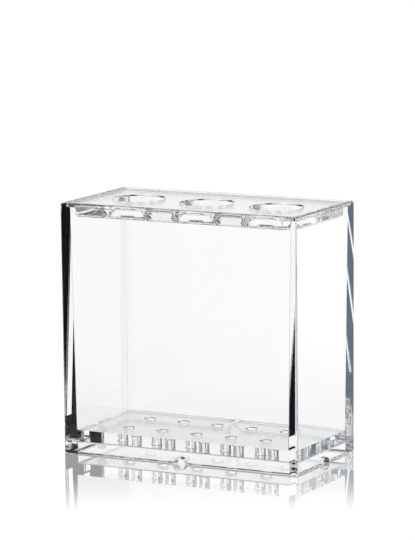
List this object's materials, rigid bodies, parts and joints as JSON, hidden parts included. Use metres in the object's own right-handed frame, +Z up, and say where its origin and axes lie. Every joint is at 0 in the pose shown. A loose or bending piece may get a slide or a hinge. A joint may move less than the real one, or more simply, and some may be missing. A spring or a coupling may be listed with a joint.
{
  "type": "toothbrush holder",
  "caption": "Clear rectangular toothbrush holder: a deep moulded box with a raised drained floor and a lift-out top plate with three round brush holes.",
  "frame": {"origin": "centre of the box's footprint, on the surface that the walls stand on", "axes": "+X along the front to the right, +Y from the front to the back, +Z up"},
  "size_m": [0.115, 0.058, 0.112],
  "materials": {
    "box_acrylic": "clear moulded acrylic, polished",
    "plate_acrylic": "clear moulded acrylic, polished"
  },
  "bodies": {
    "box": {"moulded_box": "box_acrylic"},
    "plate": {"top_plate": "plate_acrylic"}
  },
  "joints": [
    {"name": "plate_lift", "type": "slide", "parent": "box", "child": "plate", "axis": [0, 0, 1], "range_m": [0, 0.06]}
  ]
}
